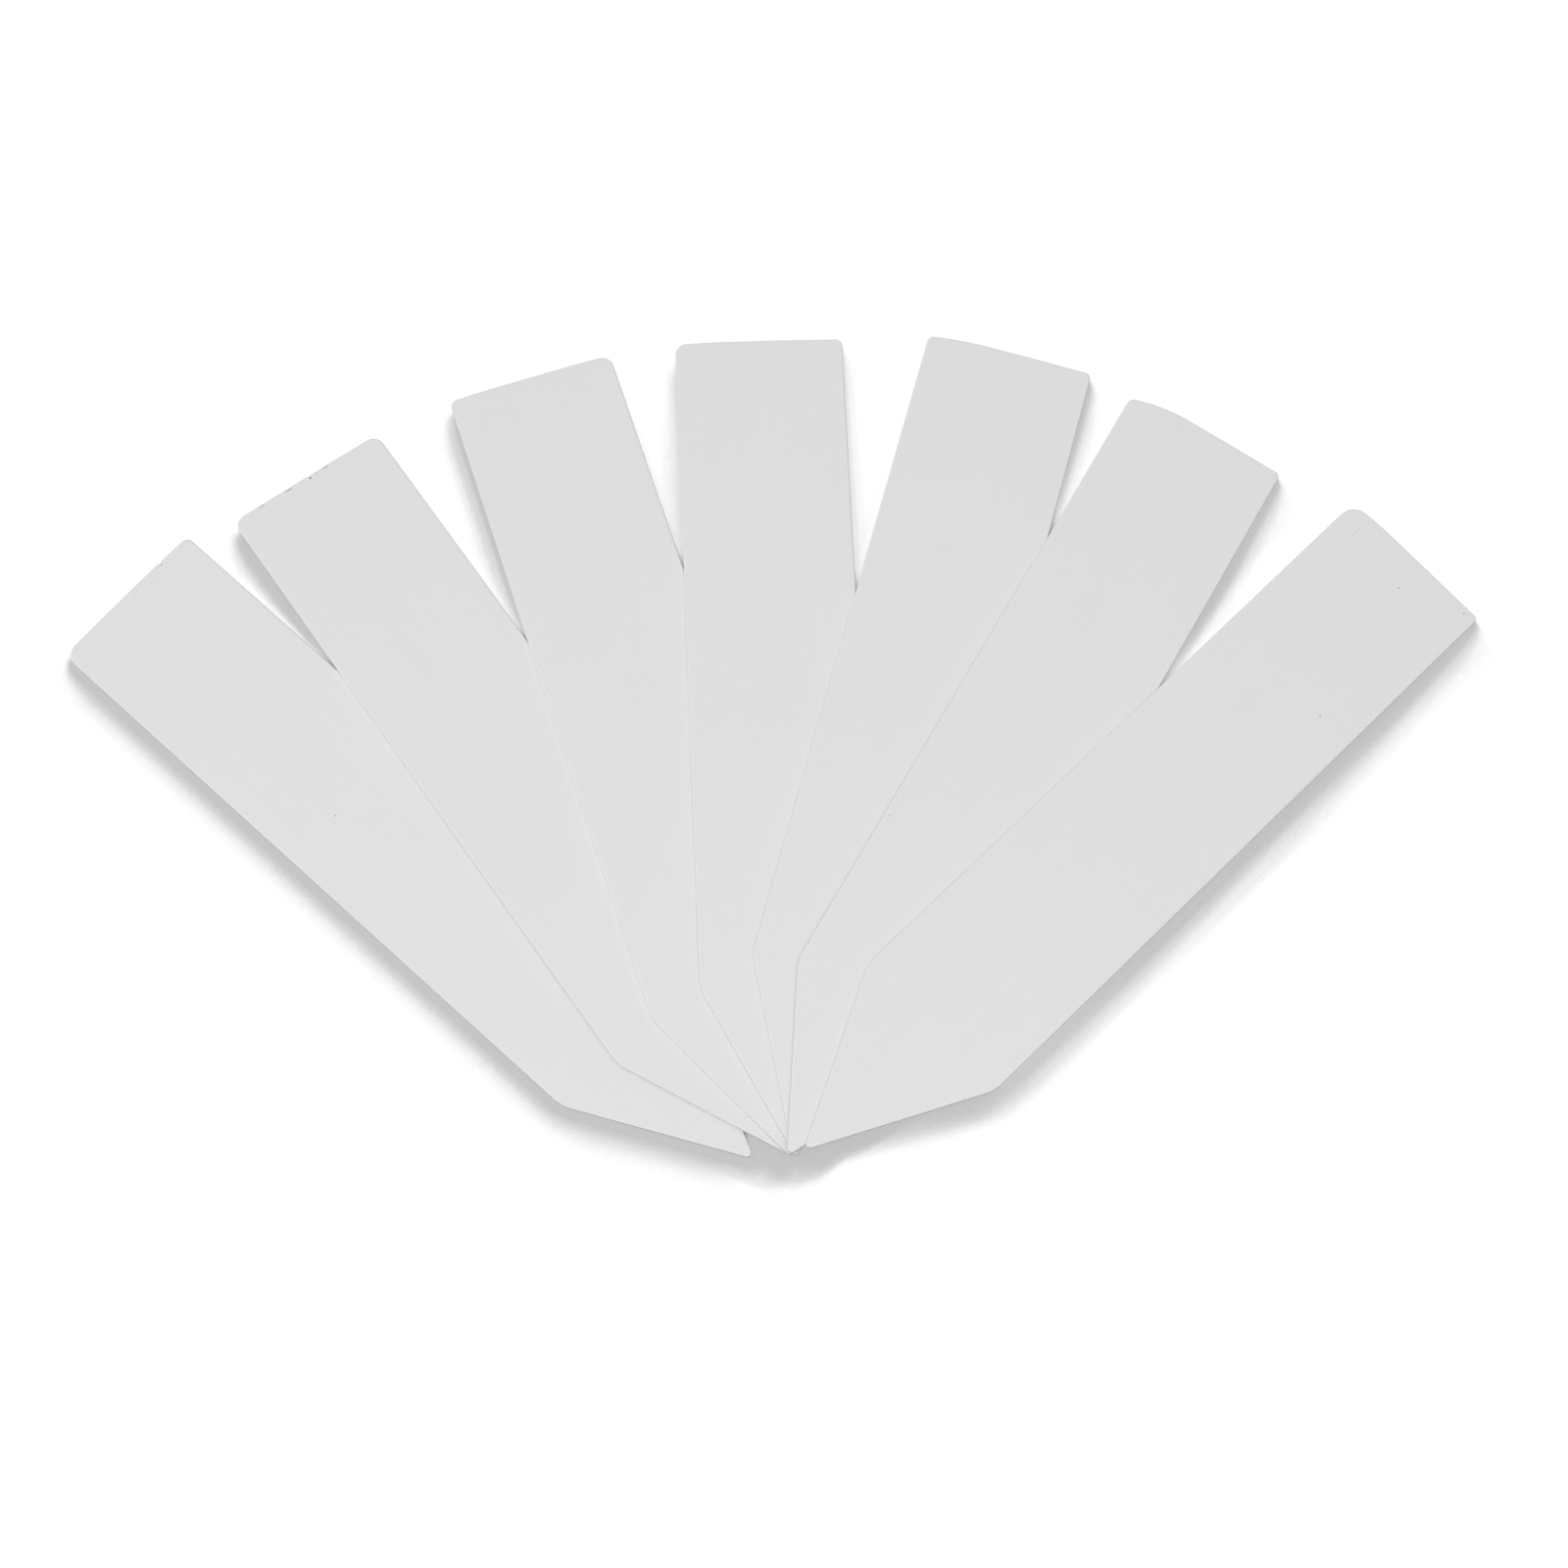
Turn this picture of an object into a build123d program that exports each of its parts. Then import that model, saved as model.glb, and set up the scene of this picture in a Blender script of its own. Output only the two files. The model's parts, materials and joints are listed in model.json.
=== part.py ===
from build123d import *

import os
from dataclasses import dataclass
from math import atan2, cos, hypot, pi, radians, sin, tan

from scipy.optimize import linprog

# Plant label stakes: seven plain labels die-cut from white plastic sheet, fanned on a table.
# Millimetres, +Z up. +X runs across the fan, +Y from the gathered points to the spread heads.
# The origin is on the table, under the middle of the fan.

# One label
LABEL_LENGTH = 100.0  # middle of the head edge to where the two edges of the point meet
LABEL_WIDTH = 20.0
POINT_LENGTH = 20.0  # from the shoulders to the point
SHEET_THICKNESS = 0.6
POINT_ROUND = 0.5  # the die leaves the point blunt, so that it doesn't prick
SHOULDER_ROUND = 5.0
FALL_LENGTH = 4.0  # from a head corner to the bend, where the head edge begins to fall to that corner
FALL_STRAIGHT = 0.1  # what stays straight there, between the bend's round and the corner's
ROLLED_RIM = 0.15  # the upper rim, pulled down where the die goes in
BACK_CHAMFER = 0.05  # the lower rim, where the burr is broken

# The pile
AIR_GAP = 0.05  # film of air where one label bears on another
RIM_STEPS = 6  # points taken along each edge when the pile is settled


@dataclass(frozen=True)
class Lay:
    """How one label lies in the fan, and how its head was trimmed.

    turn is the direction from point to head in degrees, counter-clockwise from +X. point_x and
    point_y place the sharp end beside the spot where the points were gathered. Left and right are
    seen from above with the head up. The heads are trimmed by hand after the points are cut, a
    little crowned: over is what a label has more than LABEL_LENGTH, slant the angle by which its
    head edge rises to the left, left_fall and right_fall are how far the edge bends down before it
    reaches its corners, and left_round and right_round are the radii there.
    """

    name: str
    turn: float
    point_x: float
    point_y: float
    over: float
    slant: float
    left_fall: float
    right_fall: float
    left_round: float
    right_round: float


# Bottom label first: each next one was laid over its left neighbour
FAN = (
    Lay("stake_1_bottom", 138.0, -3.85, 0.30, -0.65, 0.1, 0.08, 0.15, 1.8, 0.8),
    Lay("stake_2", 125.5, 0.55, 0.35, -0.4, 0.7, 0.05, 0.05, 1.5, 1.4),
    Lay("stake_3", 108.4, 0.35, 0.05, -0.6, 0.2, 0.15, 0.15, 1.0, 1.4),
    Lay("stake_4", 92.6, 0.85, -0.15, -0.6, 0.2, 0.2, 0.1, 1.4, 0.8),
    Lay("stake_5", 74.7, 0.20, 1.20, 0.0, 0.1, 0.6, 0.1, 0.8, 0.8),
    Lay("stake_6", 60.2, -0.30, -0.05, 0.8, 2.6, 1.4, 0.05, 0.9, 0.7),
    Lay("stake_7_top", 44.4, 1.50, 0.55, 1.0, 1.1, 0.3, 0.05, 2.1, 0.6),
)


def bend_radius(fall, slant, corner_round):
    """Radius of a bend in a head edge: its round runs down to where the corner's round begins.

    slant is the angle by which the head edge rises towards that corner.
    """
    drop = fall - tan(radians(slant)) * FALL_LENGTH
    fall_angle = atan2(drop, FALL_LENGTH)
    corner_share = corner_round * tan((pi / 2 - fall_angle) / 2)
    room = hypot(drop, FALL_LENGTH) - corner_share - FALL_STRAIGHT
    return room / tan((radians(slant) + fall_angle) / 2)


def outline(lay):
    """Draw one label's outline in the current BuildLine: point at the origin, head along X."""
    half = LABEL_WIDTH / 2
    middle = LABEL_LENGTH + lay.over
    rise = tan(radians(lay.slant))
    bend = half - FALL_LENGTH
    FilletPolyline(
        (0, 0),
        (POINT_LENGTH, -half),
        (middle - rise * half - lay.right_fall, -half),
        (middle - rise * bend, -bend),
        (middle + rise * bend, bend),
        (middle + rise * half - lay.left_fall, half),
        (POINT_LENGTH, half),
        radius=[
            POINT_ROUND,
            SHOULDER_ROUND,
            lay.right_round,
            bend_radius(lay.right_fall, -lay.slant, lay.right_round),
            bend_radius(lay.left_fall, lay.slant, lay.left_round),
            lay.left_round,
            SHOULDER_ROUND,
        ],
        close=True,
    )


def lying_plane(lay, height, slope_x, slope_y):
    """The plane of a label's underside, at height + slope_x * x + slope_y * y above the table."""
    along_x = cos(radians(lay.turn))
    along_y = sin(radians(lay.turn))
    return Plane(
        origin=(lay.point_x, lay.point_y, height + slope_x * lay.point_x + slope_y * lay.point_y),
        x_dir=(along_x, along_y, slope_x * along_x + slope_y * along_y),
        z_dir=(-slope_x, -slope_y, 1),
    )


def plan_view(lay):
    """The flat face that a label covers on the table, seen from above."""
    with BuildSketch(lying_plane(lay, 0, 0, 0)) as plan:
        with BuildLine():
            outline(lay)
        make_face()
    return plan.sketch.face()


def rim_points(flat_shape):
    """Points round the edges of a flat shape, close enough to follow its round corners."""
    return [edge @ (step / RIM_STEPS) for edge in flat_shape.edges() for step in range(RIM_STEPS)]


def settle(plan, settled):
    """Let one stiff label sink until its middle lies as low as the table and the pile allow.

    plan is the label's outline seen from above. settled holds, for each label that is already
    lying, its own plan and the height and slopes of its underside. Returns those three for this one.
    """
    supports = [(point.X, point.Y, 0.0) for point in rim_points(plan)]
    for lower_plan, (height, slope_x, slope_y) in settled:
        crossing = plan & lower_plan
        for point in rim_points(crossing) if crossing else []:
            top = height + slope_x * point.X + slope_y * point.Y + SHEET_THICKNESS
            supports.append((point.X, point.Y, top + AIR_GAP))
    middle = plan.center()
    rest = linprog(
        c=[1, middle.X, middle.Y],
        A_ub=[[-1, -x, -y] for x, y, support in supports],
        b_ub=[-support for x, y, support in supports],
        bounds=(None, None),
    )
    return tuple(rest.x)


# Settle the fan from the bottom up
settled = []
for lay in FAN:
    plan = plan_view(lay)
    settled.append((plan, settle(plan, settled)))

# The fan is laid out about the gathered points, so its middle is found and becomes the origin
fan_middle = Compound([plan for plan, rest in settled]).bounding_box().center()

os.makedirs("parts", exist_ok=True)

for lay, (plan, rest) in zip(FAN, settled):
    underside = lying_plane(lay, *rest)
    underside.origin -= (fan_middle.X, fan_middle.Y, 0)
    through_sheet = Axis(underside.origin, underside.z_dir)

    with BuildPart() as label:
        with BuildSketch(underside):
            with BuildLine():
                outline(lay)
            make_face()
        extrude(amount=SHEET_THICKNESS)
        fillet(label.faces().sort_by(through_sheet)[-1].edges(), ROLLED_RIM)
        chamfer(label.faces().sort_by(through_sheet)[0].edges(), BACK_CHAMFER)

    label.part.label = lay.name
    export_step(label.part, f"parts/{lay.name}.step")
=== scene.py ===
"""Seven plain white plant labels, fanned on a white table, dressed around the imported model.

Every label is cut, rimmed and finished in its own frame, with its point at the origin and its head
along +X, and is then laid where its CAD node lies. Lengths are in metres and angles in degrees. The
finishes count in millimetres along, across and through the label: their names end in _mm or _per_mm.
"""

import json
import logging
from dataclasses import dataclass
from enum import Enum
from math import atan, atan2, cos, hypot, pi, radians, sin, sqrt, tan
from typing import Callable, Iterable

import bmesh
import bpy
from mathutils import Matrix, Vector

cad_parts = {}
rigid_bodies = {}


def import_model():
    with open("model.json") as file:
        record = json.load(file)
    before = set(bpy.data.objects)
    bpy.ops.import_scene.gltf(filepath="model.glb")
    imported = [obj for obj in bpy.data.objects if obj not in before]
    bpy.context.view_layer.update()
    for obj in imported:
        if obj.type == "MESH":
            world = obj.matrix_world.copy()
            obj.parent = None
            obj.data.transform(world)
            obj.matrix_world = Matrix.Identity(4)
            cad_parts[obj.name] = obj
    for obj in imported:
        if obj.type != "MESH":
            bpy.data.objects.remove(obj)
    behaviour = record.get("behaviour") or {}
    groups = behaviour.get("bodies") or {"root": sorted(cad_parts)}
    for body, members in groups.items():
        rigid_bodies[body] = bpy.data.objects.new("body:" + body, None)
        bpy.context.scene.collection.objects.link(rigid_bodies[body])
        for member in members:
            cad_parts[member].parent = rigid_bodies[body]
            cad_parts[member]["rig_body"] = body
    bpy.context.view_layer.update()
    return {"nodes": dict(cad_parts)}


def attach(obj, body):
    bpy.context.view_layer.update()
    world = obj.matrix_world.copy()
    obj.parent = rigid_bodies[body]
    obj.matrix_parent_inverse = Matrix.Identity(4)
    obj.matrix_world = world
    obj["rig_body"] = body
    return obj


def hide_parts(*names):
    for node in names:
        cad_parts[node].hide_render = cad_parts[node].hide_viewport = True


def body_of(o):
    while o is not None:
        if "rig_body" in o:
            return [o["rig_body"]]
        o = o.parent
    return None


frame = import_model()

MM = 0.001

SLACK = 0.002 * MM  # within this, two places along one axis are the same
CORNER_SLACK = 0.01 * MM  # within this, a point is the corner that is looked for

# How much of a face's normal points up or down
BROAD_NORMAL = 0.9  # at least this on the two broad faces
FLAT_NORMAL = 0.999  # at least this on their flat part, inside the rims
SIDE_NORMAL = 0.2  # at most this on the sides of a CAD label
EDGE_NORMAL = 0.35  # at most this on the cut edge, between the rims

QUARTER_ROUND = 0.5  # the bevel's profile that rounds a square edge truly
STRAIGHT_UP = 90.0
EVEN = (1.0, 1.0, 1.0)

Triple = tuple[float, float, float]
Socket = bpy.types.NodeSocket
Value = float | Socket
Finished = bpy.types.Material | bpy.types.World

log = logging.getLogger("plant_labels")


# Hand tools for shaping a mesh


class Part(Enum):
    """The kind of mesh part that a selection is made of."""

    VERTEX = "VERT"
    EDGE = "EDGE"
    FACE = "FACE"


class Axis(Enum):
    """A direction in a label's own frame."""

    ALONG = 0
    UP = 2


def clear_selection() -> None:
    """Leave nothing selected and nothing active."""
    if bpy.context.object and bpy.context.object.mode != "OBJECT":
        bpy.ops.object.mode_set(mode="OBJECT")
    bpy.ops.object.select_all(action="DESELECT")
    bpy.context.view_layer.objects.active = None


def select(piece: bpy.types.Object, part: Part, wanted: Callable[..., bool]) -> int:
    """Select the vertices, edges or faces of a piece in edit mode.

    Args:
        piece: The object that is in edit mode.
        part: Which kind of part is tested.
        wanted: Says of one bmesh vertex, edge or face whether it is selected.

    Returns:
        How many parts are selected.
    """
    bpy.ops.mesh.select_mode(type=part.value)
    bpy.ops.mesh.select_all(action="DESELECT")
    mesh = bmesh.from_edit_mesh(piece.data)
    rows = {Part.VERTEX: mesh.verts, Part.EDGE: mesh.edges, Part.FACE: mesh.faces}[part]
    found = [row for row in rows if wanted(row)]
    for row in found:
        row.select_set(True)
    mesh.select_flush_mode()
    bmesh.update_edit_mesh(piece.data)
    return len(found)


def near(value: float, target: float) -> bool:
    """Say whether two lengths agree to a couple of microns."""
    return abs(value - target) < SLACK


def lies_at(axis: Axis, place: float) -> Callable[[bmesh.types.BMEdge], bool]:
    """Return a test that says of an edge whether both its ends are at a place along an axis."""
    return lambda edge: all(near(vertex.co[axis.value], place) for vertex in edge.verts)


# Finishes


class Bench:
    """A work bench for one material or world: adds its nodes and joins them.

    Attributes:
        noise_middle: The value about which noise swings.
        noise_roughness: How strong the noise's finer grain is.
    """

    noise_middle: float = 0.5
    noise_roughness: float = 0.55

    def __init__(self, owner: Finished) -> None:
        """Clear the bench.

        Args:
            owner: The new material or world whose nodes are laid out.
        """
        self.owner = owner
        self.owner.use_nodes = True
        self.nodes = self.owner.node_tree.nodes
        self.links = self.owner.node_tree.links
        self.nodes.clear()

    def add(self, kind: str, inputs: dict | None = None, **settings: object) -> bpy.types.Node:
        """Add a node.

        Args:
            kind: The node's type without the ShaderNode in front.
            inputs: What each named or numbered input holds: a value, or a socket to join.
            **settings: The node's own settings.

        Returns:
            The node.
        """
        node = self.nodes.new("ShaderNode" + kind)
        for key, value in settings.items():
            setattr(node, key, value)
        for key, value in (inputs or {}).items():
            if isinstance(value, Socket):
                self.links.new(value, node.inputs[key])
            else:
                node.inputs[key].default_value = value
        return node

    def math(self, operation: str, *values: Value) -> Socket:
        """Join up one sum and return its result."""
        return self.add("Math", dict(enumerate(values)), operation=operation).outputs[0]

    def mix(self, share: Value, low: Value, high: Value) -> Socket:
        """Mix two plain values, by the share of the second, and return the result."""
        return self.add("Mix", {0: share, 2: low, 3: high}, data_type="FLOAT").outputs[0]

    def fade(
        self, value: Value, start: float, end: float, left: float = 0.0, soft: bool = True
    ) -> Socket:
        """Fade from 1 to what is left while a value goes from start to end.

        Args:
            value: What is followed.
            start: Up to here the result is 1.
            end: From here on it is what is left.
            left: The result at the end.
            soft: Whether the fade starts and ends softly, or is straight.

        Returns:
            The result.
        """
        course = "SMOOTHSTEP" if soft else "LINEAR"
        inputs = {0: value, 1: start, 2: end, 3: 1.0, 4: left}
        return self.add("MapRange", inputs, interpolation_type=course).outputs[0]

    def noise(self, place: Socket, per_mm: Triple, detail: float) -> Socket:
        """Add plain noise.

        Args:
            place: The label's own coordinates in millimetres.
            per_mm: How many grains a millimetre along, across and through the label holds.
            detail: How much finer grain there is in it.

        Returns:
            The noise, which swings about the noise's middle.
        """
        scaled = self.add("Mapping", {"Vector": place, "Scale": per_mm}, vector_type="POINT")
        return self.add("TexNoise", {
            "Vector": scaled.outputs[0],
            "Scale": 1.0,
            "Detail": detail,
            "Roughness": self.noise_roughness,
        }).outputs[0]

    def vary(self, middle: Value, noise: Socket, change: float) -> Socket:
        """Return a value that swings with the noise, by half the change to each side at most."""
        swing = self.math("SUBTRACT", noise, self.noise_middle)
        return self.math("MULTIPLY_ADD", swing, change, middle)

    def grey(self, tone: Value) -> Socket:
        """Return a neutral colour of the given tone."""
        return self.add("CombineColor", {0: tone, 1: tone, 2: tone}).outputs[0]

    def finish(self, shader: Socket) -> Finished:
        """Join the shader to the output.

        Args:
            shader: The finished shader.

        Returns:
            The finished material or world.
        """
        kind = "OutputWorld" if isinstance(self.owner, bpy.types.World) else "OutputMaterial"
        self.add(kind, {"Surface": shader})
        return self.owner


def own_coordinates(bench: Bench, seat: Matrix) -> Socket:
    """Read a label's own coordinates back from where it lies.

    Args:
        bench: The bench of the material.
        seat: Where the label lies.

    Returns:
        The coordinates in millimetres: along, across and through the label.
    """
    return bench.add("Mapping", {
        "Vector": bench.add("TexCoord").outputs["Object"],
        "Location": seat.translation,
        "Rotation": seat.to_euler(),
        "Scale": (MM, MM, MM),
    }, vector_type="TEXTURE").outputs[0]


@dataclass(frozen=True)
class Speck:
    """A dark grain or smudge on the sheet.

    Attributes:
        along_mm: Its place along the label.
        across_mm: Its place across the label.
        radius_mm: How far it reaches along the label.
        tone: How dark it is, linear.
        stretch: How much wider across the label it is than along it.
        core: Which share of its radius is fully dark.
    """

    along_mm: float
    across_mm: float
    radius_mm: float = 0.14
    tone: float = 0.42
    stretch: float = 1.0
    core: float = 0.4

    def share(self, bench: Bench, place: bpy.types.NodeOutputs) -> Socket:
        """Say how much of the speck there is at a place.

        Args:
            bench: The bench of the face's material.
            place: The place along and across the label, in millimetres.

        Returns:
            The share, from 0 to 1.
        """
        offset = bench.math("SUBTRACT", place[1], self.across_mm)
        across = bench.math("DIVIDE", offset, self.stretch)
        along = bench.math("SUBTRACT", place[0], self.along_mm)
        squares = bench.math("MULTIPLY_ADD", along, along, bench.math("MULTIPLY", across, across))
        reach = bench.math("SQRT", squares)
        return bench.fade(reach, self.core * self.radius_mm, self.radius_mm)


@dataclass(frozen=True)
class Hairline:
    """A fine scratch in the face.

    Attributes:
        along_mm: The place of its middle along the label.
        across_mm: The place of its middle across the label.
        length_mm: How long it is.
        turn: Its angle from the label's length.
        half_width_mm: How far it reaches to each side of its middle line.
        depth: How much darker the face is along the scratch, linear.
        core: The share of its length, and of its half width, that is fully cut from the middle on.
    """

    along_mm: float
    across_mm: float
    length_mm: float
    turn: float
    half_width_mm: float = 0.05
    depth: float = 0.16
    core: float = 0.3

    def cut(self, bench: Bench, own: Socket) -> Socket:
        """Say how deep the scratch is cut at a place.

        Args:
            bench: The bench of the face's material.
            own: The label's own coordinates in millimetres.

        Returns:
            The share of its full depth.
        """
        turned = bench.add("Mapping", {
            "Vector": own,
            "Location": (self.along_mm, self.across_mm, 0.0),
            "Rotation": (0.0, 0.0, radians(self.turn)),
        }, vector_type="TEXTURE").outputs[0]
        place = bench.add("SeparateXYZ", {0: turned}).outputs
        lengthwise = bench.math("ABSOLUTE", place[0])
        end = bench.fade(lengthwise, self.core * self.length_mm, self.length_mm / 2)
        sideways = bench.math("ABSOLUTE", place[1])
        side = bench.fade(sideways, self.core * self.half_width_mm, self.half_width_mm)
        return bench.math("MULTIPLY", end, side)


@dataclass(frozen=True)
class WhitePlastic:
    """What the whole sheet shares: rigid white PVC, into which light sinks a little.

    Attributes:
        ior: Its index of refraction.
        glow: The share of the light that sinks in.
        glow_depth: How deep it sinks.
        coarse: The detail of noise whose grain is broad.
        fine: The detail of noise whose grain is small.
    """

    ior: float = 1.53
    glow: float = 0.2
    glow_depth: float = 0.2 * MM
    coarse: float = 2.0
    fine: float = 3.0

    def shader(self, bench: Bench, tone: Socket, roughness: Value, relief: Socket) -> Socket:
        """Add the plastic's shader.

        Args:
            bench: The bench of the material.
            tone: The neutral tone of the surface, linear.
            roughness: How rough the surface is.
            relief: The normal of the surface.

        Returns:
            The shader.
        """
        return bench.add("BsdfPrincipled", {
            "Base Color": bench.grey(tone),
            "Roughness": roughness,
            "IOR": self.ior,
            "Normal": relief,
            "Subsurface Weight": self.glow,
            "Subsurface Radius": EVEN,
            "Subsurface Scale": self.glow_depth,
        }).outputs[0]


@dataclass(frozen=True)
class SheetFace(WhitePlastic):
    """The calendered face of the sheet: satin, neutral, nearly even.

    The sheet is rolled along the labels' length, so its faint lines run that way.

    Attributes:
        tone: The face's middle tone, linear.
        cloud_change: How much the tone changes in broad clouds.
        cloud_per_mm: How close the clouds are.
        line_change: How much the tone changes from one rolled line to the next.
        line_per_mm: How close the rolled lines are.
        roughness: The face's middle roughness.
        polish_change: How much the roughness changes.
        polish_per_mm: How close the changes of roughness are.
        grain_per_mm: How close the fine grain is.
        grain_height: How high the fine grain is.
        grain_strength: How strongly it shows.
    """

    tone: float = 0.822
    cloud_change: float = 0.020
    cloud_per_mm: Triple = (0.045, 0.07, 0.05)
    line_change: float = 0.012
    line_per_mm: Triple = (0.012, 1.4, 0.5)
    roughness: float = 0.46
    polish_change: float = 0.10
    polish_per_mm: Triple = (0.06, 0.45, 0.3)
    grain_per_mm: Triple = (5.0, 6.5, 5.0)
    grain_height: float = 0.002 * MM
    grain_strength: float = 0.35

    def material(
        self, name: str, seat: Matrix, specks: Iterable[Speck], hairlines: Iterable[Hairline]
    ) -> bpy.types.Material:
        """Make the face's material for one label.

        Args:
            name: The material's name.
            seat: Where the label lies, so that the pattern follows it.
            specks: The grains in this label.
            hairlines: The scratches on this label.

        Returns:
            The material.
        """
        bench = Bench(bpy.data.materials.new(name))
        own = own_coordinates(bench, seat)
        place = bench.add("SeparateXYZ", {0: own}).outputs

        clouds = bench.noise(own, self.cloud_per_mm, self.coarse)
        lines = bench.noise(own, self.line_per_mm, self.fine)
        tone = bench.vary(self.tone, clouds, self.cloud_change)
        tone = bench.vary(tone, lines, self.line_change)
        for speck in specks:
            tone = bench.mix(speck.share(bench, place), tone, speck.tone)

        groove: Value = 0.0
        for hairline in hairlines:
            cut = hairline.cut(bench, own)
            groove = bench.math("ADD", groove, cut)
            tone = bench.math("MULTIPLY_ADD", cut, -hairline.depth, tone)

        grain = bench.noise(own, self.grain_per_mm, self.fine)
        relief = bench.add("Bump", {
            "Strength": self.grain_strength,
            "Distance": self.grain_height,
            "Height": bench.math("SUBTRACT", grain, groove),
        }).outputs[0]
        polish = bench.noise(own, self.polish_per_mm, self.fine)
        roughness = bench.vary(self.roughness, polish, self.polish_change)
        return bench.finish(self.shader(bench, tone, roughness, relief))


@dataclass(frozen=True)
class CutEdge(WhitePlastic):
    """The die-cut edge, whitened by the cut and lightened further with painted light: a burnished land
    over a paler band with upright tears.

    Attributes:
        land_whitening_and_painted_light: The land's tone, linear: the cut's whitening, raised further
            with painted light so that the less-lit wall shows about as bright as the face.
        torn_whitening_and_painted_light: The torn band's tone, linear: paler from the tear, and raised
            with painted light in the same way.
        border_mm: How far the one fades into the other to each side of their border.
        border_change_mm: How much that border wanders.
        tear_change: How much the tears change the tone.
        tear_per_mm: How close the tears are.
        tear_height: How high the tears are.
        tear_strength: How strongly they show.
        roughness: How rough the edge is.
    """

    # Painted light: both edge tones sit above the face's tone, so that the cut walls, which get less
    # light, show about as bright as the faces.
    land_whitening_and_painted_light: float = 0.84
    torn_whitening_and_painted_light: float = 0.87
    border_mm: float = 0.04
    border_change_mm: float = 0.12
    tear_change: float = 0.05
    tear_per_mm: Triple = (9.0, 9.0, 0.8)
    tear_height: float = 0.03 * MM
    tear_strength: float = 0.6
    roughness: float = 0.6

    def material(self, name: str, seat: Matrix, floor_mm: float) -> bpy.types.Material:
        """Make the edge's material for one label.

        Args:
            name: The material's name.
            seat: Where the label lies.
            floor_mm: How high above the underside the land ends and the torn band begins.

        Returns:
            The material.
        """
        bench = Bench(bpy.data.materials.new(name))
        own = own_coordinates(bench, seat)
        height = bench.add("SeparateXYZ", {0: own}).outputs[2]
        tears = bench.noise(own, self.tear_per_mm, self.fine)
        border = bench.vary(height, tears, self.border_change_mm)
        torn = bench.fade(border, floor_mm - self.border_mm, floor_mm + self.border_mm)
        # The edge tone mixes the cut's real whitening with painted light that brightens the walls.
        tone = bench.vary(bench.mix(torn, self.land_whitening_and_painted_light, self.torn_whitening_and_painted_light), tears, self.tear_change)
        relief = bench.add("Bump", {
            "Strength": self.tear_strength,
            "Distance": self.tear_height,
            "Height": bench.math("MULTIPLY", tears, torn),
        }).outputs[0]
        return bench.finish(self.shader(bench, tone, self.roughness, relief))


# The labels


@dataclass(frozen=True)
class TabNick:
    """A notch in the head edge, where a holding tab of the die tore off.

    Attributes:
        across: Where its middle is across the label.
        width: How wide it is.
        depth: How deep it is.
        shape: Its points from side to side, as shares of the width and of the depth.
    """

    across: float
    width: float = 0.5 * MM
    depth: float = 0.16 * MM
    shape: tuple[tuple[float, float], ...] = (
        (-0.5, 0.0), (-0.28, 0.75), (0.0, 1.0), (0.2, 0.55), (0.5, 0.0),
    )

    def covers(self, vertex: bmesh.types.BMVert) -> bool:
        """Say whether a point of the head edge is so close that it makes way for the notch."""
        return abs(vertex.co.y - self.across) < self.width

    def splits(self, edge: bmesh.types.BMEdge) -> bool:
        """Say whether a stretch of the head edge has the notch's middle on it."""
        right, left = sorted(vertex.co.y for vertex in edge.verts)
        return right < self.across < left


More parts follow.
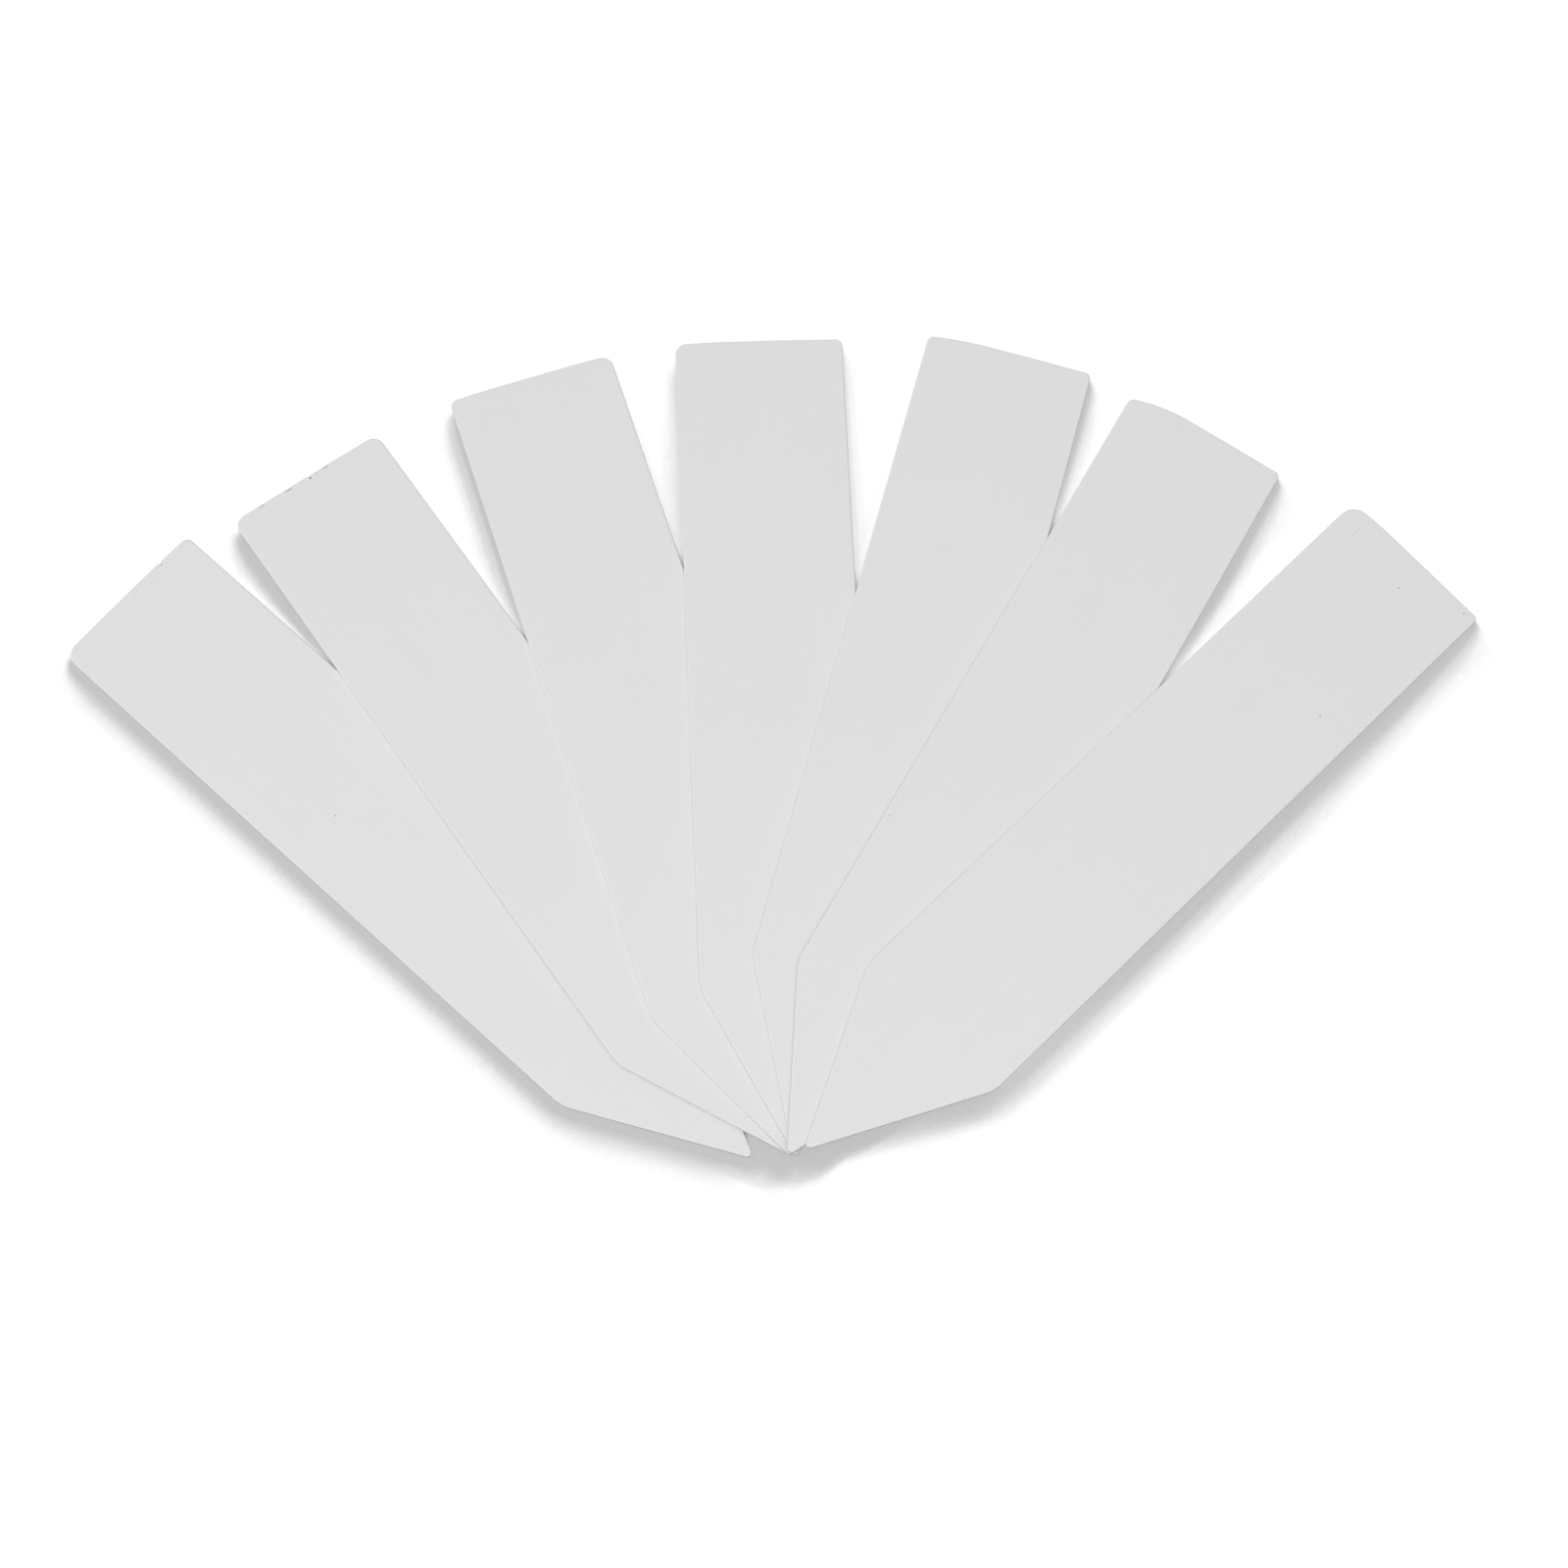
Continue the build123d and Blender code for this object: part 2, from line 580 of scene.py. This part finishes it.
@dataclass
class PlantLabel:
    """One plant label, die-cut from white sheet: blunt point, soft shoulders, rounded head.

    The heads are trimmed by hand, a little crowned, so every label has its own. Left is seen with
    the head up.

    Attributes:
        node: The CAD node that it stands for, and its own name's start.
        over: What the label has more than the common length.
        slant: The angle by which the head edge rises to the left.
        left_fall: How far the head edge bends down before it reaches the left corner.
        right_fall: How far it bends down before it reaches the right corner.
        left_round: Radius of the left head corner.
        right_round: Radius of the right head corner.
        nicks: The torn tabs in the head edge.
        specks: The grains in the face.
        hairlines: The scratches on the face.
        common_length: From the sharp point to the middle of the head edge.
        width: Of every label.
        point_length: From the shoulders to the sharp point.
        thickness: Of the sheet.
        point_round: Radius of the blunt point.
        shoulder_round: Radius of the shoulders.
        fall_length: From a head corner to the bend, where the head edge begins to fall to it.
        fall_straight: What stays straight between the bend's round and the corner's.
        corner_steps: Into how many stretches a round of the outline is divided.
        head_depth: Down to this below its middle, the head edge may hold a torn tab.
        rolled_rim: Radius of the upper rim, pulled down by the die.
        rim_steps: Into how many stretches that rim is divided.
        back_chamfer: How far the lower rim is broken.
        rim_ring: Width of the flat ring inside each rim.
        land_depth: How far down the die cuts cleanly.
        torn_draw: How far the torn band draws in under that.
        smooth_angle: Up to this angle, faces are smooth across their edge.
        face: The finish of the broad faces and the rims.
        edge: The finish of the cut edge.
    """

    node: str
    over: float
    slant: float
    left_fall: float
    right_fall: float
    left_round: float
    right_round: float
    nicks: tuple[TabNick, ...] = ()
    specks: tuple[Speck, ...] = ()
    hairlines: tuple[Hairline, ...] = ()
    common_length: float = 100.0 * MM
    width: float = 20.0 * MM
    point_length: float = 20.0 * MM
    thickness: float = 0.6 * MM
    point_round: float = 0.5 * MM
    shoulder_round: float = 5.0 * MM
    fall_length: float = 4.0 * MM
    fall_straight: float = 0.1 * MM
    corner_steps: int = 12
    head_depth: float = 0.5 * MM
    rolled_rim: float = 0.15 * MM
    rim_steps: int = 4
    back_chamfer: float = 0.05 * MM
    rim_ring: float = 0.06 * MM
    land_depth: float = 0.24 * MM
    torn_draw: float = 0.02 * MM
    smooth_angle: float = 50.0
    face: SheetFace = SheetFace()
    edge: CutEdge = CutEdge()

    @property
    def half(self) -> float:
        """Half the label's width."""
        return self.width / 2

    @property
    def land_floor(self) -> float:
        """How high above the underside the upright land ends."""
        return self.thickness - self.land_depth

    def head_at(self, across: float) -> float:
        """Return how far along the label its straight head edge lies, at a place across it."""
        return self.common_length + self.over + across * tan(radians(self.slant))

    def seat(self) -> Matrix:
        """Read from the CAD node where the label lies.

        Its underside is the largest face that looks down, and its long edge the largest side.

        Returns:
            The matrix from the label's own frame, point at the origin and head along +X, to the table.
        """
        def underside_area(face: bpy.types.MeshPolygon) -> float:
            """Return the area of a face that looks down, and nothing for another."""
            return face.area if face.normal.z < -BROAD_NORMAL else 0.0

        def side_area(face: bpy.types.MeshPolygon) -> float:
            """Return the area of a face that stands upright, and nothing for another."""
            return face.area if abs(face.normal.z) < SIDE_NORMAL else 0.0

        mesh = frame["nodes"][self.node].data
        underside = max(mesh.polygons, key=underside_area)
        long_edge = max(mesh.polygons, key=side_area)
        up = -underside.normal
        along = long_edge.normal.cross(up).normalized()
        if along.y < 0:
            along.negate()
        left = up.cross(along)
        blunt = self.point_round * (1 / sin(atan(self.half / self.point_length)) - 1)
        tip = min(along.dot(vertex.co) for vertex in mesh.vertices)
        sides = [left.dot(vertex.co) for vertex in mesh.vertices]
        level = up.dot(underside.center)
        origin = (tip - blunt) * along + (min(sides) + max(sides)) / 2 * left + level * up
        return Matrix.Translation(origin) @ Matrix((along, left, up)).transposed().to_4x4()

    def build(self) -> bpy.types.Object:
        """Make the label, lay it on the pile and dress it.

        Returns:
            The finished piece.
        """
        seat = self.seat()
        label = self.cut_blank()
        self.trim_head(label)
        self.round_corners(label)
        self.tear_tabs(label)
        self.thicken(label)
        self.roll_rim(label)
        self.dress(label, seat)
        self.lay_down(label, seat)
        return label

    def cut_blank(self) -> bpy.types.Object:
        """Draw the flat outline with sharp corners: a rectangle with its lower end pulled to a point.

        Returns:
            The flat piece, in edit mode.
        """
        clear_selection()
        body = self.head_at(0.0) - self.point_length
        at_shoulders = lies_at(Axis.ALONG, self.point_length)
        to_point = {"value": (-self.point_length, 0.0, 0.0)}
        bpy.ops.mesh.primitive_plane_add(size=1.0, location=(0.0, 0.0, 0.0))
        label = bpy.context.object
        label.name = self.node + "_label"
        bpy.ops.object.mode_set(mode="EDIT")
        bpy.ops.transform.resize(value=(body, self.width, 1.0))
        bpy.ops.transform.translate(value=(self.point_length + body / 2, 0.0, 0.0))
        select(label, Part.EDGE, at_shoulders)
        bpy.ops.mesh.extrude_region_move(TRANSFORM_OT_translate=to_point)
        bpy.ops.mesh.merge(type="CENTER")
        select(label, Part.EDGE, at_shoulders)
        bpy.ops.mesh.dissolve_edges(use_verts=False)
        return label

    def trim_head(self, label: bpy.types.Object) -> None:
        """Slant the head edge, and bend it down towards both corners.

        Args:
            label: The flat piece, in edit mode.
        """
        middle, half = self.head_at(0.0), self.half
        bend = half - self.fall_length
        select(label, Part.EDGE, lies_at(Axis.ALONG, middle))
        bpy.ops.mesh.subdivide(number_cuts=2)
        moves = {
            half: (self.head_at(half) - self.left_fall, half),
            half / 3: (self.head_at(bend), bend),
            -half / 3: (self.head_at(-bend), -bend),
            -half: (self.head_at(-half) - self.right_fall, -half),
        }
        for start, (along, across) in moves.items():
            def is_start(vertex: bmesh.types.BMVert) -> bool:
                """Say whether a point is the one to be moved."""
                return near(vertex.co.x, middle) and near(vertex.co.y, start)

            select(label, Part.VERTEX, is_start)
            bpy.ops.transform.translate(value=(along - middle, across - start, 0.0))

    def bend_radius(self, fall: float, slant: float, corner_round: float) -> float:
        """Work out the radius of a bend in the head edge, whose round runs down to the corner's.

        Args:
            fall: How far the edge bends down before it reaches the corner.
            slant: The angle by which the head edge rises towards that corner.
            corner_round: The radius of the corner.

        Returns:
            The radius.
        """
        drop = fall - tan(radians(slant)) * self.fall_length
        fall_angle = atan2(drop, self.fall_length)
        corner_share = corner_round * tan((pi / 2 - fall_angle) / 2)
        room = hypot(drop, self.fall_length) - corner_share - self.fall_straight
        return room / tan((radians(slant) + fall_angle) / 2)

    def corners(self) -> list[tuple[Vector, float]]:
        """List the outline's sharp corners in order.

        Returns:
            Each corner with the radius of its round.
        """
        half = self.half
        bend = half - self.fall_length
        right_bend = self.bend_radius(self.right_fall, -self.slant, self.right_round)
        left_bend = self.bend_radius(self.left_fall, self.slant, self.left_round)
        places = [
            (0.0, 0.0, self.point_round),
            (self.point_length, -half, self.shoulder_round),
            (self.head_at(-half) - self.right_fall, -half, self.right_round),
            (self.head_at(-bend), -bend, right_bend),
            (self.head_at(bend), bend, left_bend),
            (self.head_at(half) - self.left_fall, half, self.left_round),
            (self.point_length, half, self.shoulder_round),
        ]
        return [(Vector((x, y, 0.0)), radius) for x, y, radius in places]

    def round_corners(self, label: bpy.types.Object) -> None:
        """Round the point, the shoulders and the head.

        The profile of each bevel puts the middle of the round on the circle of its radius.

        Args:
            label: The flat piece, in edit mode.
        """
        corners = self.corners()
        for index, (corner, radius) in enumerate(corners):
            before = corner - corners[index - 1][0]
            after = corners[(index + 1) % len(corners)][0] - corner
            turn = before.angle(after)
            select(label, Part.VERTEX, lambda vertex: (vertex.co - corner).length < CORNER_SLACK)
            sag = (1 / cos(turn / 2) - 1) / (2 * tan(turn / 2) * sin(turn / 2))
            bpy.ops.mesh.bevel(
                offset_type="ABSOLUTE",
                offset=radius * tan(turn / 2),
                segments=self.corner_steps,
                profile=(1 - sag) ** 2,
                affect="VERTICES",
            )

    def tear_tabs(self, label: bpy.types.Object) -> None:
        """Notch the head edge where each tab was.

        Args:
            label: The flat piece, in edit mode.
        """
        head_zone = self.head_at(0.0) - self.head_depth

        def on_head(vertex: bmesh.types.BMVert) -> bool:
            """Say whether a point lies on the head edge."""
            return vertex.co.x > head_zone

        for nick in self.nicks:
            if select(label, Part.VERTEX, lambda vertex: on_head(vertex) and nick.covers(vertex)):
                bpy.ops.mesh.dissolve_verts()
            select(label, Part.EDGE, lambda edge: all(map(on_head, edge.verts)) and nick.splits(edge))
            bpy.ops.mesh.subdivide(number_cuts=len(nick.shape))
            mesh = bmesh.from_edit_mesh(label.data)
            chain = sorted((v for v in mesh.verts if v.select), key=lambda v: v.co.y)
            first, last = chain[0].co.copy(), chain[-1].co.copy()
            for vertex, (across, depth) in zip(chain[1:-1], nick.shape):
                share = (nick.across + across * nick.width - first.y) / (last.y - first.y)
                vertex.co = first.lerp(last, share) - Vector((depth * nick.depth, 0.0, 0.0))
            bmesh.update_edit_mesh(label.data)

    def thicken(self, label: bpy.types.Object) -> None:
        """Give the sheet its thickness: an upright land, and the torn band that tapers down from it.

        Args:
            label: The flat piece, in edit mode.
        """
        up_land = {"value": (0.0, 0.0, self.land_depth)}
        bpy.ops.mesh.select_all(action="SELECT")
        bpy.ops.transform.translate(value=(0.0, 0.0, self.land_floor))
        bpy.ops.mesh.inset(thickness=self.torn_draw, depth=-self.land_floor, use_even_offset=True)
        select(label, Part.EDGE, lambda edge: edge.is_boundary)
        bpy.ops.mesh.extrude_edges_move(TRANSFORM_OT_translate=up_land)
        bpy.ops.mesh.edge_face_add()
        bpy.ops.mesh.select_all(action="SELECT")
        bpy.ops.mesh.normals_make_consistent(inside=False)

    def roll_rim(self, label: bpy.types.Object) -> None:
        """Round the upper rim and break the lower one, with a flat ring inside each.

        Args:
            label: The piece, in edit mode, which this ends.
        """
        select(label, Part.EDGE, lies_at(Axis.UP, self.thickness))
        bpy.ops.mesh.bevel(
            offset_type="OFFSET",
            offset=self.rolled_rim,
            segments=self.rim_steps,
            profile=QUARTER_ROUND,
            affect="EDGES",
        )
        select(label, Part.EDGE, lies_at(Axis.UP, 0.0))
        bpy.ops.mesh.bevel(
            offset_type="OFFSET", offset=self.back_chamfer, segments=1, affect="EDGES"
        )
        for side in (1.0, -1.0):
            select(label, Part.FACE, lambda face: face.normal.z * side > FLAT_NORMAL)
            bpy.ops.mesh.inset(thickness=self.rim_ring, depth=0.0, use_even_offset=True)
        bpy.ops.object.mode_set(mode="OBJECT")

    def dress(self, label: bpy.types.Object, seat: Matrix) -> None:
        """Give the faces and the cut edge their finishes.

        Args:
            label: The piece, in its own frame.
            seat: Where it will lie.
        """
        finishes = (
            self.face.material(self.node + "_face", seat, self.specks, self.hairlines),
            self.edge.material(self.node + "_cut_edge", seat, self.land_floor / MM),
        )
        for finish in finishes:
            label.data.materials.append(finish)
        bpy.ops.object.mode_set(mode="EDIT")
        select(label, Part.FACE, lambda face: abs(face.normal.z) < EDGE_NORMAL)
        label.active_material_index = 1
        bpy.ops.object.material_slot_assign()
        bpy.ops.object.mode_set(mode="OBJECT")
        bpy.ops.object.shade_smooth_by_angle(angle=radians(self.smooth_angle))

    def lay_down(self, label: bpy.types.Object, seat: Matrix) -> None:
        """Lay the label on the pile, with its place in its mesh, on the body of its CAD node.

        Args:
            label: The piece, in its own frame.
            seat: Where it lies.
        """
        label.matrix_world = seat
        bpy.ops.object.transform_apply(location=True, rotation=True, scale=True)
        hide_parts(self.node)
        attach(label, body_of(frame["nodes"][self.node])[0])


@dataclass
class LabelFan:
    """The seven labels, bottom one first."""

    labels: tuple[PlantLabel, ...] = (
        PlantLabel(
            "stake_1_bottom", over=-0.65 * MM, slant=0.1,
            left_fall=0.08 * MM, right_fall=0.15 * MM,
            left_round=1.8 * MM, right_round=0.8 * MM,
            nicks=(TabNick(across=-5.5 * MM),),
            specks=(Speck(62.3, 2.75), Speck(98.9, -5.5, radius_mm=0.16, tone=0.5)),
        ),
        PlantLabel(
            "stake_2", over=-0.4 * MM, slant=0.7,
            left_fall=0.05 * MM, right_fall=0.05 * MM,
            left_round=1.5 * MM, right_round=1.4 * MM,
            nicks=(TabNick(across=-0.5 * MM),),
            specks=(
                Speck(99.24, -0.5, radius_mm=0.22, tone=0.3),
                Speck(99.3, -1.43, radius_mm=0.13, tone=0.5),
                Speck(99.33, -2.7, radius_mm=0.16, tone=0.6, stretch=4.0),
                Speck(99.36, 2.4, radius_mm=0.17, tone=0.58, stretch=4.0),
                Speck(99.45, 6.1, radius_mm=0.15, tone=0.62, stretch=4.5),
            ),
        ),
        PlantLabel(
            "stake_3", over=-0.6 * MM, slant=0.2,
            left_fall=0.15 * MM, right_fall=0.15 * MM,
            left_round=1.0 * MM, right_round=1.4 * MM,
        ),
        PlantLabel(
            "stake_4", over=-0.6 * MM, slant=0.2,
            left_fall=0.2 * MM, right_fall=0.1 * MM,
            left_round=1.4 * MM, right_round=0.8 * MM,
        ),
        PlantLabel(
            "stake_5", over=0.0, slant=0.1,
            left_fall=0.6 * MM, right_fall=0.1 * MM,
            left_round=0.8 * MM, right_round=0.8 * MM,
        ),
        PlantLabel(
            "stake_6", over=0.8 * MM, slant=2.6,
            left_fall=1.4 * MM, right_fall=0.05 * MM,
            left_round=0.9 * MM, right_round=0.7 * MM,
            specks=(Speck(39.9, 9.35, radius_mm=0.12, tone=0.5),),
        ),
        PlantLabel(
            "stake_7_top", over=1.0 * MM, slant=1.1,
            left_fall=0.3 * MM, right_fall=0.05 * MM,
            left_round=2.1 * MM, right_round=0.6 * MM,
            specks=(Speck(96.8, -0.95), Speck(100.06, -8.4), Speck(78.5, -5.25)),
            hairlines=(
                Hairline(98.5, 7.28, length_mm=1.5, turn=3.0),
                Hairline(97.6, 7.19, length_mm=0.8, turn=11.0),
            ),
        ),
    )

    def build(self) -> list[bpy.types.Object]:
        """Build every label.

        Returns:
            The pieces, bottom one first.
        """
        built = []
        for label in self.labels:
            piece = label.build()
            log.info("%s: %d faces", piece.name, len(piece.data.polygons))
            built.append(piece)
        return built


# The studio


def seen_directly(bench: Bench) -> Socket:
    """Pick out the rays that show the background: the camera's, and those off gloss or through glass.

    Args:
        bench: The bench of the table's or the room's finish.

    Returns:
        1 for such a ray and 0 for another.
    """
    path = bench.add("LightPath").outputs
    glossy = bench.math("MAXIMUM", path["Is Camera Ray"], path["Is Glossy Ray"])
    return bench.math("MAXIMUM", glossy, path["Is Transmission Ray"])


@dataclass(frozen=True)
class SoftLamp:
    """A square soft box that faces the fan.

    Attributes:
        name: The lamp's name.
        azimuth: Where it stands, counter-clockwise from +X.
        elevation: Its height above the table.
        distance: From the fan's middle.
        size: Its side.
        level: What it adds to a flat white surface, where 1 is white.
    """

    name: str
    azimuth: float
    elevation: float
    distance: float
    size: float
    level: float

    def build(self) -> None:
        """Hang the lamp, with the power that gives its level at the fan's middle.

        What reaches the table is the form factor of a square seen from its middle, less what is lost
        because the light meets the table at a slant.
        """
        turn, height = radians(self.azimuth), radians(self.elevation)
        outward = Vector((cos(height) * cos(turn), cos(height) * sin(turn), sin(height)))
        light = bpy.data.lights.new(self.name, "AREA")
        light.size = self.size
        spread = self.size / 2 / self.distance
        share = spread / sqrt(1 + spread**2)
        reaching = 4 / pi * share * atan(share) * sin(height)
        light.energy = pi * self.level * self.size**2 / reaching
        lamp = bpy.data.objects.new(self.name, light)
        lamp.location = outward * self.distance
        lamp.rotation_euler = outward.to_track_quat("Z", "Y").to_euler()
        lamp.visible_camera = False
        bpy.context.scene.collection.objects.link(lamp)


@dataclass(frozen=True)
class WhiteTable:
    """The white table top, with the short soft shade that gathers under the labels' lower edges.

    The shade comes from what stands within reach on the side away from the camera, less what lies
    straight above, so that it is as wide under a raised label as beside one that lies flat. It moves
    with the labels and leaves no mark on them. Only the squares near a label look for it.

    Attributes:
        drop: How far the table top lies below the lowest label.
        near_length: Length of the part that is divided into squares.
        near_width: Width of that part.
        squares: How many squares it has along its length and its width.
        spread: How many times larger the whole table is.
        margin: How close a label is to a square that looks for it.
        tone: What of the light the table gives back.
        shown: The level at which the open table shows, where 1 is white.
        look_reach: How far the table looks sideways for what stands by.
        look_lean: How steeply it looks up then.
        roof_reach: How far it looks straight up for what lies above.
        roof_share: How much of what lies above counts against the shade.
        shade: How much of the white the full shade takes.
        shade_start: How much has to be covered before the shade begins.
        shade_full: How much is covered where the shade is full.
        slit_cover: How much is covered above, from the start to the full depth of a narrow slit.
        slit_shade: How much of the light such a slit takes.
        samples: How many looks are taken from each spot.
    """

    drop: float = 0.02 * MM
    near_length: float = 192.0 * MM
    near_width: float = 132.0 * MM
    squares: tuple[int, int] = (64, 44)
    spread: float = 6.0
    margin: float = 10.0 * MM
    tone: float = 0.15
    shown: float = 1.04
    look_reach: float = 5.3 * MM
    look_lean: float = 20.0
    roof_reach: float = 4.0 * MM
    roof_share: float = 0.45
    shade: float = 0.457
    shade_start: float = 0.055
    shade_full: float = 0.117
    slit_cover: tuple[float, float] = (0.62, 0.95)
    slit_shade: float = 0.7
    samples: int = 32

    def build(self, light_level: float, labels: list[bpy.types.Object]) -> None:
        """Lay the table under the fan.

        Args:
            light_level: What the lamps and the fill give a flat white surface, where 1 is white.
            labels: The pieces that stand on it.
        """
        clear_selection()
        across, deep = self.squares
        whole = (self.spread, self.spread, 1.0)
        bpy.ops.mesh.primitive_grid_add(x_subdivisions=across, y_subdivisions=deep, size=1.0)
        table = bpy.context.object
        table.name = "white_table"
        bpy.ops.object.mode_set(mode="EDIT")
        bpy.ops.transform.resize(value=(self.near_length, self.near_width, 1.0))
        bpy.ops.transform.translate(value=(0.0, 0.0, -self.drop))
        select(table, Part.EDGE, lambda edge: edge.is_boundary)
        bpy.ops.mesh.extrude_edges_move()
        bpy.ops.transform.resize(value=whole, center_override=(0.0, 0.0, 0.0))
        for shaded in (False, True):
            table.data.materials.append(self.material(light_level, shaded))
        select(table, Part.FACE, lambda face: self.is_near(face.calc_center_median(), labels))
        table.active_material_index = 1
        bpy.ops.object.material_slot_assign()
        bpy.ops.object.mode_set(mode="OBJECT")

    def is_near(self, spot: Vector, labels: list[bpy.types.Object]) -> bool:
        """Say whether a label stands so close to a spot of the table that it may shade it."""
        return any(label.closest_point_on_mesh(spot, distance=self.margin)[0] for label in labels)

    def material(self, light_level: float, shaded: bool) -> bpy.types.Material:
        """Make the table's finish, which shows white and keeps the shadows.

        Args:
            light_level: What the light gives a flat white surface.
            shaded: Whether a label may be near enough to add its short shade.

        Returns:
            The material.
        """
        bench = Bench(bpy.data.materials.new("white_table_by_labels" if shaded else "white_table"))
        light = self.light_left(bench) if shaded else 1.0
        given = bench.math("MULTIPLY", light, self.tone)
        surface = bench.add("BsdfDiffuse", {"Color": bench.grey(given)}).outputs[0]
        added = bench.math("MULTIPLY", light, self.shown - self.tone * light_level)
        lift = bench.add("Emission", {"Strength": added}).outputs[0]
        shown = bench.add("AddShader", {0: surface, 1: lift}).outputs[0]
        plain = bench.add("BsdfDiffuse", {"Color": bench.grey(self.tone)}).outputs[0]
        mixed = bench.add("MixShader", {0: seen_directly(bench), 1: plain, 2: shown})
        return bench.finish(mixed.outputs[0])

    def light_left(self, bench: Bench) -> Socket:
        """Work out what the short shade leaves of the light.

        Args:
            bench: The bench of the table's material.

        Returns:
            The share of the light that is left.
        """
        beside = self.covered(bench, self.look_reach, self.look_lean)
        above = self.covered(bench, self.roof_reach, STRAIGHT_UP)
        standing_by = bench.math("MULTIPLY_ADD", above, -self.roof_share, beside)
        shade = bench.fade(
            standing_by, self.shade_start, self.shade_full, 1.0 - self.shade, soft=False
        )
        slit = bench.fade(above, *self.slit_cover, 1.0 - self.slit_shade)
        return bench.math("MULTIPLY", shade, slit)

    def covered(self, bench: Bench, reach: float, lean: float) -> Socket:
        """Find out how much of the view from the table is covered by something near.

        Args:
            bench: The bench of the table's material.
            reach: How far the view goes.
            lean: How steeply it looks up, away from the camera's side.

        Returns:
            The share that is covered.
        """
        rise = radians(lean)
        towards = bench.add("CombineXYZ", {0: 0.0, 1: cos(rise), 2: sin(rise)}).outputs[0]
        inputs = {"Distance": reach, "Normal": towards}
        view = bench.add("AmbientOcclusion", inputs, samples=self.samples)
        return bench.math("SUBTRACT", 1.0, view.outputs["AO"])


@dataclass
class Studio:
    """The table, the soft light and the camera of the photograph.

    The camera looks down at the fan, leaning back a little from straight above. Its place was
    fitted to the labels' corners.

    Attributes:
        aim: The spot of the table that the camera looks at.
        tilt: How far it leans back from straight above.
        camera_distance: From that spot.
        focal_pixels: The focal length in pixels of the photograph.
        image_pixels: The photograph's side in pixels.
        sensor: The sensor's width in millimetres, as the camera counts it.
        clip_start: How close to the camera the view begins.
        clip_end: How far from it the view ends.
        fill: The level of the even light, where 1 is white.
        lamps: The soft boxes.
    """

    aim: Triple = (1.08 * MM, -6.14 * MM, 0.0)
    tilt: float = 16.6
    camera_distance: float = 356.0 * MM
    focal_pixels: float = 3156.0
    image_pixels: float = 1600.0
    sensor: float = 36.0
    clip_start: float = 0.01
    clip_end: float = 20.0
    fill: float = 0.47
    lamps: tuple[SoftLamp, ...] = (
        SoftLamp(
            "soft_key_left", azimuth=180.0, elevation=52.0, distance=2.5, size=1.0, level=0.20
        ),
        SoftLamp(
            "soft_key_near", azimuth=278.0, elevation=70.0, distance=0.5, size=0.25, level=0.21
        ),
    )

    def build(self, labels: list[bpy.types.Object]) -> None:
        """Set up the whole studio around the labels.

        Args:
            labels: The finished pieces.
        """
        self.place_camera()
        self.fill_room()
        for lamp in self.lamps:
            lamp.build()
            log.info("%s: level %.2f", lamp.name, lamp.level)
        WhiteTable().build(self.fill + sum(lamp.level for lamp in self.lamps), labels)
        bpy.context.scene.view_settings.view_transform = "Standard"

    def place_camera(self) -> None:
        """Put the camera where the photograph was taken from."""
        lean = radians(self.tilt)
        backward = Vector((0.0, -sin(lean), cos(lean)))
        data = bpy.data.cameras.new("camera")
        data.sensor_width = self.sensor
        data.lens = self.sensor * self.focal_pixels / self.image_pixels
        data.clip_start = self.clip_start
        data.clip_end = self.clip_end
        camera = bpy.data.objects.new("camera", data)
        camera.location = Vector(self.aim) + self.camera_distance * backward
        camera.rotation_euler = (lean, 0.0, 0.0)
        bpy.context.scene.collection.objects.link(camera)
        bpy.context.scene.camera = camera

    def fill_room(self) -> None:
        """Fill the room with even light, and show it as plain white."""
        bench = Bench(bpy.data.worlds.new("white_room"))
        strength = bench.mix(seen_directly(bench), self.fill, 1.0)
        room = bench.add("Background", {"Color": (*EVEN, 1.0), "Strength": strength})
        bpy.context.scene.world = bench.finish(room.outputs[0])


def main() -> None:
    """Build the fan and the studio."""
    logging.basicConfig(level=logging.INFO, format="%(name)s: %(message)s")
    labels = LabelFan().build()
    Studio().build(labels)


if __name__ == "__main__":
    main()
